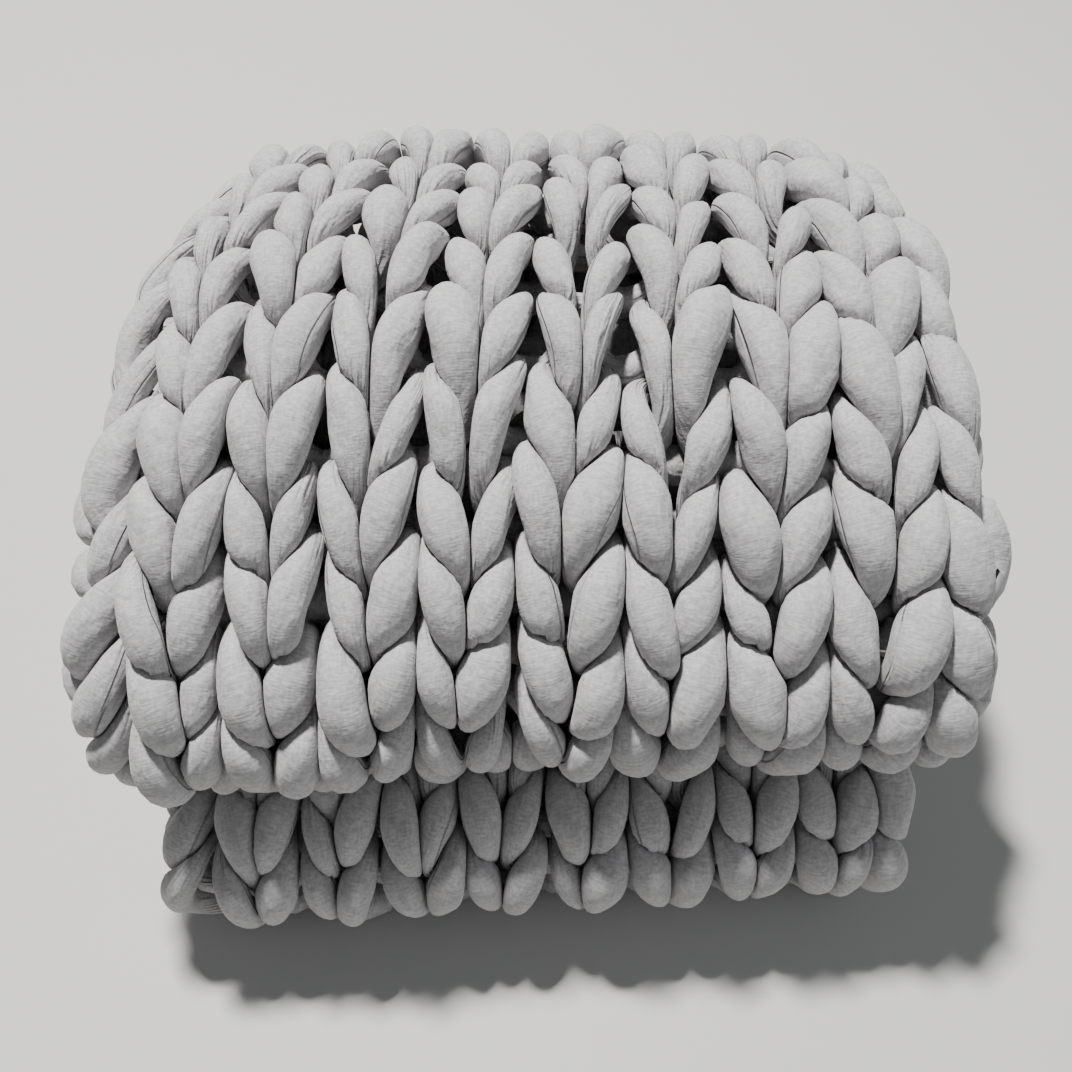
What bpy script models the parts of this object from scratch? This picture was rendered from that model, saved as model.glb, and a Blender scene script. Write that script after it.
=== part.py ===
"""A chunky knitted weighted blanket, folded in half down its length and then in three, lying on the floor.

Metres, +Z up.  X runs across the pile, along a row of stitches.  The pile's front faces -Y, and its origin
is under its middle, on the floor.
"""
import math

import bmesh
import bpy
import numpy as np

# ---- driving sizes -----------------------------------------------------------------------------------------
WALE = 0.066            # width of one column of stitches
ROW = 0.059             # height of one row of stitches
WALES = 9               # columns across each layer, as the blanket was folded in half down its length
RELIEF = 0.015          # depth of the valleys between the yarn legs
SLANT_ROWS = 1.0        # rows that a leg climbs from the wale's edge to its middle
SLANT_FADE_ROWS = 2     # rows over which the slant dies out where the cloth goes out of sight
LAYER_GAP = 0.004       # air between two layers
SLAB_JOIN = 0.165       # height of the gap between the bottom ply and the two plies above it

# The outer face of the top ply, from its tuck under the front lip, up and over to the back edge.
# Each arc turns the face's normal, measured up from straight ahead, on to end_normal.
LIP_START_NORMAL = -90.0
TOP_ARCS = (
    # name,        end_normal (degrees), radius (m)
    ("lip",         32.0, 0.0425),
    ("front face",  54.0, 0.433),
    ("shoulder",    86.0, 0.369),
    ("crown",       95.0, 0.680),
    ("back slope", 115.0, 0.300),
)

# The long gaps that the two folds close round: where each ends, and its height there and at the other end.
GAPS = {
    # name:          tip_y, tip_z, far_y, far_z, eye (radius of the round end)
    "inside front": (0.105, 0.228, 0.500, 0.298, 0.010),
    "inside back":  (0.440, 0.152, 0.020, SLAB_JOIN, 0.010),
}
EYE_TAPER = 0.25            # the share of a gap's length over which its eye narrows
FRONT_BEND_FROM = 0.060     # the front fold starts to bend this far behind the tip of its gap,
FRONT_BEND_TO = 0.015       # and has bent round this far behind it
MIDDLE_FROM = 0.045         # the middle ply's first station, behind that tip
BACK_BEND_FROM = 0.030      # the back fold bends this far ahead of the tip of its gap
BACK_FOLD_REACH = 0.535     # how far back the fold between the middle and bottom plies reaches
BACK_FOLD_LEAD = 0.010      # how far before the tip of its gap that fold's outside starts to round
BACK_FOLD_POWER = 0.75      # under 1 is fuller than an ellipse
BOTTOM_LIP_REACH = -0.043   # where the bottom ply's front starts, ahead of the top lip
BOTTOM_LIP_RADIUS = 0.080
BOTTOM_LIP_END_NORMAL = -55.0
BOTTOM_LIP_TUCK = 0.065     # how far behind that front the cloth's end meets the floor

# How wide each stretch of the cloth lies, as a share of the full width, how much its sides droop, and how
# far it lies to the right of the pile's middle.
STRETCHES = (
    # name,         width, droop (m), shift (m)
    ("top back",     0.925, 0.052, 0.012),
    ("top ply",      1.020, 0.042, 0.007),
    ("front fold",   1.015, 0.022, 0.008),
    ("middle ply",   0.970, 0.000, 0.000),
    ("back fold",    0.950, 0.000, 0.000),
    ("bottom ply",   0.925, 0.000, 0.006),
    ("bottom lip",   0.915, 0.000, 0.008),
)
BACK_NARROWS_FROM = 0.385   # how far back the top ply lies at its full width
BLEND = 4                   # stations over which one stretch's width turns into the next one's
FRONT_SLANT = 0.055         # how far the front is set back for each metre to the right
SLANT_DEPTH = 0.430         # how far back that slant has died out

PER_WALE = 4            # mesh columns in one wale: edge, leg, middle, leg
PER_ROW = 4             # mesh stations in one row of stitches
CREST = (0.15, 0.80, 1.00, 0.72)    # a leg's rise at each station of its row
SCALLOP = 0.005         # how far a row's turn bulges from the side
HIDDEN_STEP = 0.075     # station spacing where the cloth is hidden between layers
CURVE_STEP = 0.0015     # point spacing while a curve is drawn
CURVE_POINTS = 60
EYE_POINTS = 9
RUN_POINTS = 6

# The section across both layers, in half widths from the middle and in shares of the layers' depth.
GAP_SHARE = 0.018       # half the gap between the two layers
ROUND_DEPTH = 0.14      # how deep a face has rounded in where it meets the side
FOLD_ROUND = 0.20       # where that starts, from the side fold
EDGE_ROUND = 0.10       # and from the free edge
CORE_REACH = 0.985      # how wide the cloth still is at its blunt ends
CORE_DEPTH = 0.25       # how deep in the middle of the upper layer lies
EDGE_LOOP = (
    # x,      depth,           core x, core depth
    (1.026,  0.18,             0.97, CORE_DEPTH),
    (1.020,  0.37,             0.97, CORE_DEPTH),
    (0.900,  0.5 - GAP_SHARE,  0.90, CORE_DEPTH),
    (-0.800, 0.5 - GAP_SHARE, -0.86, 0.30),
)
GAP_END = (-0.825, 0.5, -0.90, 0.5)
FOLD_LOOP = (
    (-1.030, 0.74, -0.90, 0.62),
    (-1.045, 0.50, -0.90, 0.50),
    (-1.030, 0.26, -0.90, 0.38),
)
END_FULLNESS = (0.50, 0.84, 0.96)   # the layers' thickness at the last stations of each end


# ---- curves in the YZ section ------------------------------------------------------------------------------
def distances(points):
    """How far along a polyline each of its points lies."""
    return np.concatenate([[0], np.cumsum(np.linalg.norm(np.diff(points, axis=0), axis=1))])


def spread(points, count):
    """count points spaced evenly along a polyline."""
    points = np.array(points)
    along = distances(points)
    marks = np.linspace(0, along[-1], count)
    return np.stack([np.interp(marks, along, points[:, i]) for i in (0, 1)], axis=1)


def stepped(points):
    """The polyline with its points one mesh station apart."""
    return spread(points, round(distances(points)[-1] / (ROW / PER_ROW)) + 1)


def arc_points(start, start_normal, end_normal, radius):
    """Points along an arc from start, whose normal turns upward and back, without start itself."""
    a0, a1 = math.radians(start_normal), math.radians(end_normal)
    count = round(abs(a1 - a0) * radius / CURVE_STEP)
    turn = [a0 + (a1 - a0) * (i + 1) / count for i in range(count)]
    centre = (start[0] + radius * math.cos(a0), start[1] - radius * math.sin(a0))
    return [(centre[0] - radius * math.cos(a), centre[1] + radius * math.sin(a)) for a in turn]


def gap_side(name, y, side):
    """The height of one side of a gap at y: side is 1 above it and -1 below."""
    tip_y, tip_z, far_y, far_z, eye = GAPS[name]
    share = (y - tip_y) / (far_y - tip_y)
    opening = max(LAYER_GAP / 2, eye * (1 - share / EYE_TAPER))
    return tip_z + (far_z - tip_z) * share + side * opening


def round_tip(name, from_y, to_y, count):
    """count points along the upper side of a gap to its tip, round its eye and back along its lower side."""
    tip_y, tip_z, far_y, _, eye = GAPS[name]
    forward = -1 if far_y > tip_y else 1
    run_in = [(y, gap_side(name, y, 1)) for y in np.linspace(from_y, tip_y, RUN_POINTS)]
    bend = [(tip_y + forward * eye * math.sin(a), tip_z + eye * math.cos(a))
            for a in np.linspace(0, math.pi, EYE_POINTS)[1:-1]]
    run_out = [(y, gap_side(name, y, -1)) for y in np.linspace(tip_y, to_y, RUN_POINTS)]
    return spread(run_in + bend + run_out, count)


def top_outline():
    """The top ply's outer face, from the back edge forward and down to the tuck under the front lip."""
    lip_radius = TOP_ARCS[0][2]
    points = [(lip_radius, SLAB_JOIN + LAYER_GAP / 2)]
    normal = LIP_START_NORMAL
    for _, end_normal, radius in TOP_ARCS:
        points += arc_points(points[-1], normal, end_normal, radius)
        normal = end_normal
    return stepped(points)[::-1]


def back_fold_shape():
    """Where the back fold starts to round, how far it reaches from there, and half its height."""
    start_y = GAPS["inside back"][0] - BACK_FOLD_LEAD
    return start_y, BACK_FOLD_REACH - start_y, gap_side("inside front", start_y, -1) / 2


def back_outline():
    """The back fold's outer face, from the top of the middle ply round and down to the floor."""
    start_y, depth, half = back_fold_shape()
    turns = np.linspace(math.pi / 2, -math.pi / 2, CURVE_POINTS)
    return stepped([(start_y + depth * max(0.0, math.cos(a)) ** BACK_FOLD_POWER, half + half * math.sin(a))
                    for a in turns])


def top_ply_underside(y):
    """The height of the top ply's lower face: along its gap, then down over the back fold."""
    start_y, depth, half = back_fold_shape()
    over_fold = max(0.0, (y - start_y) / depth) ** (1 / BACK_FOLD_POWER)
    fold_top = half * (1 + math.sqrt(max(0.0, 1 - over_fold ** 2)))
    along_gap = gap_side("inside front", y, 1)
    if y < start_y:
        return along_gap
    return min(along_gap, fold_top + LAYER_GAP)


def bottom_lip_outline():
    """The bottom ply's upper face where it rounds down over its front and tucks in at the floor."""
    top = SLAB_JOIN - LAYER_GAP / 2
    start = (BOTTOM_LIP_REACH + BOTTOM_LIP_RADIUS, top)
    bend = arc_points(start, 90.0, BOTTOM_LIP_END_NORMAL, BOTTOM_LIP_RADIUS)
    return stepped([(start[0] + ROW, top), start] + bend)


def stations():
    """The cloth's two faces at every station, from the top ply's back end forward, round the front fold, back
    through the middle ply, round the back fold and forward to the bottom lip.

    For each station: its point on the face that shows on top, its point on the other face, the stretch it is
    in, and which of the two faces shows there."""
    face, other, stretch, shows = [], [], [], []

    def add(face_points, other_points, name, showing):
        face.extend(face_points)
        other.extend(other_points)
        stretch.extend([name] * len(face_points))
        shows.extend([showing] * len(face_points))

    top = top_outline()
    front_tip, back_tip = GAPS["inside front"][0], GAPS["inside back"][0]
    above = [p for p in top if p[0] > front_tip + FRONT_BEND_FROM]
    for name, part in (("top back", [p for p in above if p[0] > BACK_NARROWS_FROM]),
                       ("top ply", [p for p in above if p[0] <= BACK_NARROWS_FROM])):
        add(part, [(y, top_ply_underside(y)) for y, _ in part], name, "face")

    lip = top[len(above):]
    inside = round_tip("inside front", front_tip + FRONT_BEND_FROM, front_tip + FRONT_BEND_TO, len(lip))
    add(lip, inside, "front fold", "face")

    back = back_outline()
    middle_y = np.arange(front_tip + MIDDLE_FROM, back[0][0] - HIDDEN_STEP / 2, HIDDEN_STEP)
    add([(y, gap_side("inside back", y, 1)) for y in middle_y],
        [(y, gap_side("inside front", y, -1)) for y in middle_y], "middle ply", None)

    bend_from = back_tip - BACK_BEND_FROM
    add(round_tip("inside back", bend_from, bend_from, len(back)), back, "back fold", "other")

    bottom_lip = bottom_lip_outline()
    lip_from = bottom_lip[0][0]
    bottom_y = np.arange(back[0][0] - HIDDEN_STEP, lip_from + HIDDEN_STEP / 2, -HIDDEN_STEP)
    add([(y, gap_side("inside back", y, -1)) for y in bottom_y], [(y, 0.0) for y in bottom_y],
        "bottom ply", None)

    floor_y = np.linspace(lip_from, BOTTOM_LIP_REACH + BOTTOM_LIP_TUCK, len(bottom_lip))
    add(bottom_lip, [(y, 0.0) for y in floor_y], "bottom lip", "face")
    return np.array(face), np.array(other), stretch, shows


# ---- the loop round the two layers, at one station ---------------------------------------------------------
def loop_spans():
    """The loop round both layers, in spans that each share their end points with the next.

    A span is (side, first column, points): one wale of a face, or a stretch of a side, whose side is None.
    A point is (x in half widths, depth from the top face at 0 to the other face at 1, and the x and depth of
    the core that it draws in to at the blanket's ends)."""
    columns = WALES * PER_WALE

    def face_point(column):
        x = 2 * column / columns - 1
        reach = FOLD_ROUND if x < 0 else EDGE_ROUND
        return x, ROUND_DEPTH * max(0.0, (abs(x) - 1 + reach) / reach) ** 2, x * CORE_REACH, CORE_DEPTH

    def mirrored(points):
        return [(x, 1 - depth, core_x, 1 - core_depth) for x, depth, core_x, core_depth in reversed(points)]

    face = [face_point(c) for c in range(columns + 1)]
    other = mirrored(face)
    edge = [face[-1], *EDGE_LOOP, GAP_END, *mirrored(EDGE_LOOP), other[0]]
    spans = [("face", c, face[c:c + PER_WALE + 1]) for c in range(0, columns, PER_WALE)]
    spans.append((None, 0, edge))
    spans += [("other", c, other[c:c + PER_WALE + 1]) for c in range(0, columns, PER_WALE)]
    spans.append((None, 0, [other[-1], *FOLD_LOOP, face[0]]))
    return spans


def fullness(index, count):
    """How full the layers are at a station: they round off over the last few at each end of the blanket."""
    from_end = min(index, count - 1 - index)
    return END_FULLNESS[from_end] if from_end < len(END_FULLNESS) else 1.0


def outward(points, side):
    """Unit normals of a YZ polyline on its left (side 1) or its right (side -1)."""
    ahead = np.gradient(points, axis=0)
    ahead /= np.linalg.norm(ahead, axis=1)[:, None]
    return side * np.stack([-ahead[:, 1], ahead[:, 0]], axis=1)


def reading(points, place):
    """A polyline's point at a place counted in stations."""
    marks = np.arange(len(points))
    return np.array([np.interp(place, marks, points[:, i]) for i in (0, 1)])


def blended(values):
    """Each station's value averaged with those of the stations within BLEND of it."""
    reach = 2 * BLEND + 1
    return np.convolve(np.pad(values, BLEND, mode="edge"), np.ones(reach) / reach, mode="valid")


def showing_share(shows, side, fade_before, fade_after):
    """1 where this side shows, falling to 0 towards the stations that are hidden, over so many stations."""
    dark = [-1] + [i for i, s in enumerate(shows) if s != side] + [len(shows)]
    share = []
    for i in range(len(shows)):
        before = min(i - d for d in dark if d <= i)
        after = min(d - i for d in dark if d >= i)
        share.append(min(1.0, before / fade_before, after / fade_after))
    return np.array(share)


# ---- the solid ---------------------------------------------------------------------------------------------
def blanket_mesh():
    """The whole blanket as one closed mesh: the loop round its two layers, lofted through all its folds."""
    face, other, stretch, shows = stations()
    count = len(face)
    lies = {name: sizes for name, *sizes in STRETCHES}
    width, droop, shift = (blended([lies[s][i] for s in stretch]) for i in range(3))
    curves = {"face": (face, outward(face, -1)), "other": (other, outward(other, 1))}
    slow, quick = SLANT_FADE_ROWS * PER_ROW, PER_ROW
    climbs = {"face": showing_share(shows, "face", slow, quick),
              "other": showing_share(shows, "other", quick, slow)}
    raised = {side: showing_share(shows, side, quick, quick) for side in curves}
    half_width = WALES * WALE / 2

    def place(side, column, point, station):
        """Where one point of the loop lies at one station."""
        full = fullness(station, count)
        x, depth, core_x, core_depth = point
        x = core_x + (x - core_x) * full
        depth = core_depth + (depth - core_depth) * full
        ends = {name: curves[name][0][station] for name in curves}
        sunk = np.zeros(2)
        if side:
            away = 1 if side == "other" else -1
            across = (column % PER_WALE) / PER_WALE
            climb = SLANT_ROWS * PER_ROW * (1 - abs(2 * across - 1)) * climbs[side][station] * away
            shifted = min(max(station + climb, 0), count - 1)
            ends[side] = reading(curves[side][0], shifted)
            rise = CREST[station % PER_ROW] if column % 2 else 0.0
            sunk = reading(curves[side][1], shifted) * -RELIEF * (1 - rise) * raised[side][station] * full
        yz = ends["face"] + (ends["other"] - ends["face"]) * depth + sunk
        bulge = SCALLOP * math.cos(2 * math.pi * station / PER_ROW) if abs(x) > 1 else 0.0
        world_x = x * half_width * width[station] + math.copysign(bulge, x) + shift[station]
        set_back = FRONT_SLANT * world_x * max(0.0, 1 - yz[0] / SLANT_DEPTH)
        drop = droop[station] * abs(x) ** 5 * (1 - depth)
        return world_x, yz[0] + set_back, yz[1] - drop

    mesh = bmesh.new()
    made = {}

    def vertex(side, column, point, station):
        """One mesh point, shared by the spans that meet at it."""
        key = (point, station)
        if key not in made:
            made[key] = mesh.verts.new(place(side, column, point, station))
        return made[key]

    def run(span, station):
        """A span's mesh points at one station: only a wale's two ends where that wale is hidden."""
        side, first, points = span
        hidden = side and shows[station] != side
        marks = (0, PER_WALE) if hidden else range(len(points))
        return [vertex(side, first + i, points[i], station) for i in marks]

    spans = loop_spans()
    for station in range(count - 1):
        for span in spans:
            near, far = run(span, station), run(span, station + 1)
            if len(near) != len(far):
                mesh.faces.new(near + far[::-1])
                continue
            for a, b, c, d in zip(near, near[1:], far[1:], far):
                mesh.faces.new((a, b, c, d))

    def end_faces(station):
        """Closes one end: a face for each layer, and one between them at the side fold."""
        runs = [run(span, station) for span in spans]
        edge, fold = runs[WALES], runs[-1]
        gap_end = len(edge) // 2
        face_line = [v for r in runs[:WALES] for v in r[:-1]]
        other_line = [v for r in runs[WALES + 1:-1] for v in r[1:]]
        outlines = (face_line + edge[:gap_end],
                    edge[gap_end + 1:] + other_line,
                    edge[gap_end - 1:gap_end + 2] + fold)
        return [mesh.faces.new(outline) for outline in outlines]

    ends = end_faces(0) + end_faces(count - 1)
    bmesh.ops.triangulate(mesh, faces=ends, ngon_method="BEAUTY")
    bmesh.ops.recalc_face_normals(mesh, faces=mesh.faces)
    return mesh


def cloth_material():
    """Grey jersey, dull and soft."""
    material = bpy.data.materials.new("grey jersey")
    material.use_nodes = True
    shader = material.node_tree.nodes["Principled BSDF"]
    shader.inputs["Base Color"].default_value = (0.50, 0.50, 0.52, 1.0)
    shader.inputs["Roughness"].default_value = 0.85
    shader.inputs["Metallic"].default_value = 0.0
    return material


def main():
    for scene_object in list(bpy.data.objects):
        bpy.data.objects.remove(scene_object, do_unlink=True)
    shape = blanket_mesh()
    front, back = (f(v.co.y for v in shape.verts) for f in (min, max))
    bmesh.ops.translate(shape, verts=shape.verts, vec=(0, -(front + back) / 2, 0))
    data = bpy.data.meshes.new("blanket")
    shape.to_mesh(data)
    shape.free()
    data.materials.append(cloth_material())
    data.shade_smooth()
    blanket = bpy.data.objects.new("blanket", data)
    group = bpy.data.collections.new("weighted blanket")
    bpy.context.scene.collection.children.link(group)
    group.objects.link(blanket)


main()
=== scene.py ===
# %% [markdown]
# # A chunky knitted weighted blanket
# The real blanket is one very long tube of jersey, stuffed with fibre and beads, and knitted by hand into
# a cloth with enormous stitches. It lies folded in half down its length and then in three. The packed
# model is loaded first. It is the fixed frame that everything below is measured against.

import math

import bpy
import numpy as np
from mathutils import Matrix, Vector, kdtree


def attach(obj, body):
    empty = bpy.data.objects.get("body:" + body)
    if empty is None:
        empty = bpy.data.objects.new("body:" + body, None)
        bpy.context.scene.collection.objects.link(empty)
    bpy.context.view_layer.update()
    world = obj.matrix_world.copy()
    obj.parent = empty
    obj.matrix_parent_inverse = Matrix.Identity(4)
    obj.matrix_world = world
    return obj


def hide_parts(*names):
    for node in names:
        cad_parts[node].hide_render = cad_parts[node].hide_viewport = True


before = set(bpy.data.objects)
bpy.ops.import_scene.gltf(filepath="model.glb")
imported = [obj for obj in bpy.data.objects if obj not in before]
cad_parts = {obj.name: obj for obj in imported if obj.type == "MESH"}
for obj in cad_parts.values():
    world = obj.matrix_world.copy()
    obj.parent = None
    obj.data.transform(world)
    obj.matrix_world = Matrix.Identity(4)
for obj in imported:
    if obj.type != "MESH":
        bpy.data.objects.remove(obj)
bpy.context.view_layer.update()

# %% [markdown]
# ## The viewpoint
# The pile is seen from in front and well above, the way one looks down at a blanket by one's feet. A
# camera that is pitched down but not turned keeps the columns of stitches running straight up the
# picture. Its lens follows from how fast the columns narrow towards the back.

# %% Camera
CAMERA_PLACE = (0.0, -0.6065, 0.886)
CAMERA_PITCH = math.radians(50.0)       # how far down it looks
SENSOR = 36.0                   # width of the picture inside the camera, in mm
FOCAL_SHARE = 1115 / 1072       # focal length over the picture's width

camera_data = bpy.data.cameras.new("viewpoint")
camera_data.sensor_width = SENSOR
camera_data.sensor_height = SENSOR
camera_data.sensor_fit = "HORIZONTAL"
camera_data.lens = SENSOR * FOCAL_SHARE
camera = bpy.data.objects.new("viewpoint", camera_data)
camera.location = CAMERA_PLACE
camera.rotation_euler = (math.pi / 2 - CAMERA_PITCH, 0.0, 0.0)
bpy.context.scene.collection.objects.link(camera)
bpy.context.scene.camera = camera
print("lens (mm):", round(camera_data.lens, 1))


# %% [markdown]
# ## Floor and light
# A plain pale floor catches the shadow that grounds the pile. The main lamp hangs high above, a little to
# the left and behind, so the upper slab throws its shadow on the lower one and the front turns darker as
# it rounds down. It is small for its distance, which keeps that shadow's edge crisp. A wide weak lamp
# fills the front from the right, and a faint even world keeps the gaps between the stitches from going
# quite black.

# %% Floor, and a helper for simple materials
def plain_material(name, colour, roughness):
    """A material of one colour, to be used as it is or built on."""
    material = bpy.data.materials.new(name)
    material.use_nodes = True
    shader = material.node_tree.nodes["Principled BSDF"]
    shader.inputs["Base Color"].default_value = (*colour, 1.0)
    shader.inputs["Roughness"].default_value = roughness
    return material


FLOOR_HALF = 6.0        # half the floor's side, in metres
FLOOR_COLOUR = (0.52, 0.52, 0.51)
FLOOR_ROUGHNESS = 0.6
floor_mesh = bpy.data.meshes.new("floor")
floor_corners = [(-FLOOR_HALF, -FLOOR_HALF, 0), (FLOOR_HALF, -FLOOR_HALF, 0),
                 (FLOOR_HALF, FLOOR_HALF, 0), (-FLOOR_HALF, FLOOR_HALF, 0)]
floor_mesh.from_pydata(floor_corners, [], [(0, 1, 2, 3)])
floor_mesh.materials.append(plain_material("pale floor", FLOOR_COLOUR, FLOOR_ROUGHNESS))
floor = bpy.data.objects.new("floor", floor_mesh)
bpy.context.scene.collection.objects.link(floor)
print("floor side (m):", 2 * FLOOR_HALF)


# %% Lamps
def soft_lamp(name, place, aim, size, power, colour):
    """A square area lamp at place, turned to face aim."""
    data = bpy.data.lights.new(name, "AREA")
    data.size = size
    data.energy = power
    data.color = colour
    lamp = bpy.data.objects.new(name, data)
    lamp.location = place
    lamp.rotation_euler = (Vector(place) - Vector(aim)).to_track_quat("Z", "Y").to_euler()
    bpy.context.scene.collection.objects.link(lamp)
    print(name, "power (W):", power)


PILE_MIDDLE = (0.0, 0.0, 0.2)
soft_lamp("key lamp", place=(-1.0, 1.45, 5.0), aim=PILE_MIDDLE, size=0.45, power=640.0,
          colour=(1.0, 0.985, 0.965))
soft_lamp("fill lamp", place=(1.8, -1.2, 1.6), aim=PILE_MIDDLE, size=1.6, power=10.0,
          colour=(0.95, 0.97, 1.0))

# %% World
ROOM_COLOUR = (0.95, 0.97, 1.0, 1.0)
ROOM_STRENGTH = 0.14
world = bpy.data.worlds.new("soft room")
world.use_nodes = True
world.node_tree.nodes["Background"].inputs["Color"].default_value = ROOM_COLOUR
world.node_tree.nodes["Background"].inputs["Strength"].default_value = ROOM_STRENGTH
bpy.context.scene.world = world
print("world strength:", ROOM_STRENGTH)

# %% [markdown]
# ## The sizes of the knit
# A knitted cloth is a grid of stitches. A column of them is called a wale. Every stitch is a loop of
# yarn: it has a head, two legs and two feet, and on the right side of the cloth the two legs show as a V.
# These few sizes drive the whole blanket.

# %% Columns, rows and yarn
WALE = 0.066            # width of one column of stitches
ROW = 0.059             # height of one row of stitches
WALES_ACROSS = 9        # columns that lie across each side of the folded pile
WALES = 2 * WALES_ACROSS        # columns in the whole cloth
YARN = 0.0160           # radius of the stuffed tube where nothing presses on it
LOOP_DEPTH = 0.0210     # how far the legs stand out, and the heads and feet lie back
LEGS_PROUD = 0.003      # how far plump legs stand past the face of the solid's cloth
SKIN = LOOP_DEPTH + YARN - LEGS_PROUD   # depth of the cloth's middle under its own outer face
half_width = WALES_ACROSS * WALE / 2
print("cloth width (m):", round(WALES * WALE, 2), " yarn across (mm):", round(2000 * YARN))

# %% [markdown]
# ## The way the cloth is folded
# Seen from the side, the doubled cloth goes back and forth: over the top, round the front fold, back
# through the middle, round the back fold, and forward along the floor to a rounded lip. The solids were
# drawn from arcs and straight gaps, and the same arcs are drawn here, so the knit lies where the solid
# is. At every station along the way there are two points, one on each face of the doubled cloth.

# %% Helpers for curves
PER_ROW = 4             # stations in one row


def distances(points):
    """How far along a polyline each of its points lies."""
    return np.concatenate([[0], np.cumsum(np.linalg.norm(np.diff(points, axis=0), axis=1))])


def spread(points, count):
    """count points spaced evenly along a polyline."""
    points = np.array(points)
    along = distances(points)
    marks = np.linspace(0, along[-1], count)
    return np.stack([np.interp(marks, along, points[:, i]) for i in range(points.shape[1])], axis=1)


def stepped(points):
    """The polyline with its points one station apart."""
    return spread(points, round(distances(points)[-1] / (ROW / PER_ROW)) + 1)


print("station step (mm):", round(1000 * ROW / PER_ROW, 1))

# %% Arcs
CURVE_STEP = 0.0015


def arc_points(start, start_normal, end_normal, radius):
    """Points along an arc from start, whose normal turns upward and back, without start itself."""
    a0, a1 = math.radians(start_normal), math.radians(end_normal)
    count = round(abs(a1 - a0) * radius / CURVE_STEP)
    turn = [a0 + (a1 - a0) * (i + 1) / count for i in range(count)]
    centre = (start[0] + radius * math.cos(a0), start[1] - radius * math.sin(a0))
    return [(centre[0] - radius * math.cos(a), centre[1] + radius * math.sin(a)) for a in turn]


print("arc step (mm):", 1000 * CURVE_STEP)

# %% [markdown]
# ## The gaps inside the folds
# A long gap runs into each fold and ends in a small round eye, because thick cloth can't be creased flat.
# One function gives the height of either side of a gap. Another walks in along its upper side, round the
# eye and out along its lower side.

# %% Gaps that the folds close round
SLAB_JOIN = 0.165       # height at which the upper slab lies on the lower one
LAYER_GAP = 0.004       # between cloth that lies on cloth
EYE_TAPER = 0.25        # share of a gap over which its eye narrows
EYE_POINTS = 9          # points on an eye's half circle, its ends included
RUN_POINTS = 6          # points on the straight on either side of it
GAPS = {
    # name:          tip y, tip z, far y, far z, eye
    "inside front": (0.105, 0.228, 0.500, 0.298, 0.010),
    "inside back":  (0.440, 0.152, 0.020, SLAB_JOIN, 0.010),
}


def gap_side(name, y, side):
    """The height of one side of a gap at y: side is 1 above it and -1 below."""
    tip_y, tip_z, far_y, far_z, eye = GAPS[name]
    share = (y - tip_y) / (far_y - tip_y)
    opening = max(LAYER_GAP / 2, eye * (1 - share / EYE_TAPER))
    return tip_z + (far_z - tip_z) * share + side * opening


def round_tip(name, from_y, to_y, count):
    """count points along the upper side of a gap, round its eye and back along its lower side."""
    tip_y, tip_z, far_y, _, eye = GAPS[name]
    forward = -1 if far_y > tip_y else 1
    run_in = [(y, gap_side(name, y, 1)) for y in np.linspace(from_y, tip_y, RUN_POINTS)]
    bend = [(tip_y + forward * eye * math.sin(a), tip_z + eye * math.cos(a))
            for a in np.linspace(0, math.pi, EYE_POINTS)[1:-1]]
    run_out = [(y, gap_side(name, y, -1)) for y in np.linspace(tip_y, to_y, RUN_POINTS)]
    return spread(run_in + bend + run_out, count)


print("gaps:", ", ".join(GAPS))

# %% [markdown]
# ## The outer curves
# The top is a chain of arcs that leave each other smoothly, from the lip that hangs over the front up to
# the crown. The back fold is one rounded bulge. The lower slab ends in a lip that tucks under itself at
# the floor.

# %% The top's outer face
LIP_START_NORMAL = -90.0        # the lip starts at its underside, facing straight down
TOP_ARCS = (
    # name,        end normal (degrees), radius (m)
    ("lip",         32.0, 0.0425),
    ("front face",  54.0, 0.433),
    ("shoulder",    86.0, 0.369),
    ("crown",       95.0, 0.680),
    ("back slope", 115.0, 0.300),
)


def top_outline():
    """The top ply's outer face, from the back edge forward and down to the tuck under the front lip."""
    points = [(TOP_ARCS[0][2], SLAB_JOIN + LAYER_GAP / 2)]
    normal = LIP_START_NORMAL
    for _, end_normal, radius in TOP_ARCS:
        points += arc_points(points[-1], normal, end_normal, radius)
        normal = end_normal
    return stepped(points)[::-1]


print("top outline (m):", round(distances(top_outline())[-1], 3))

# %% The back fold, and what lies on it
BACK_FOLD_REACH = 0.535         # how far back the fold bulges
BACK_FOLD_LEAD = 0.010          # how far before the tip of its gap it starts to round
BACK_FOLD_POWER = 0.75          # below 1 squares the bulge a little
CURVE_POINTS = 60


def back_fold_shape():
    """Where the back fold starts to round, how far it reaches from there, and half its height."""
    start_y = GAPS["inside back"][0] - BACK_FOLD_LEAD
    return start_y, BACK_FOLD_REACH - start_y, gap_side("inside front", start_y, -1) / 2


def back_outline():
    """The back fold's outer face, from the top of the middle ply round and down to the floor."""
    start_y, depth, half = back_fold_shape()
    turns = np.linspace(math.pi / 2, -math.pi / 2, CURVE_POINTS)
    return stepped([(start_y + depth * max(0.0, math.cos(a)) ** BACK_FOLD_POWER, half + half * math.sin(a))
                    for a in turns])


def top_ply_underside(y):
    """The height of the top ply's lower face: along its gap, then down over the back fold."""
    start_y, depth, half = back_fold_shape()
    over_fold = max(0.0, (y - start_y) / depth) ** (1 / BACK_FOLD_POWER)
    fold_top = half * (1 + math.sqrt(max(0.0, 1 - over_fold ** 2)))
    along_gap = gap_side("inside front", y, 1)
    return along_gap if y < start_y else min(along_gap, fold_top + LAYER_GAP)


print("back fold height (m):", round(2 * back_fold_shape()[2], 3))

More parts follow.
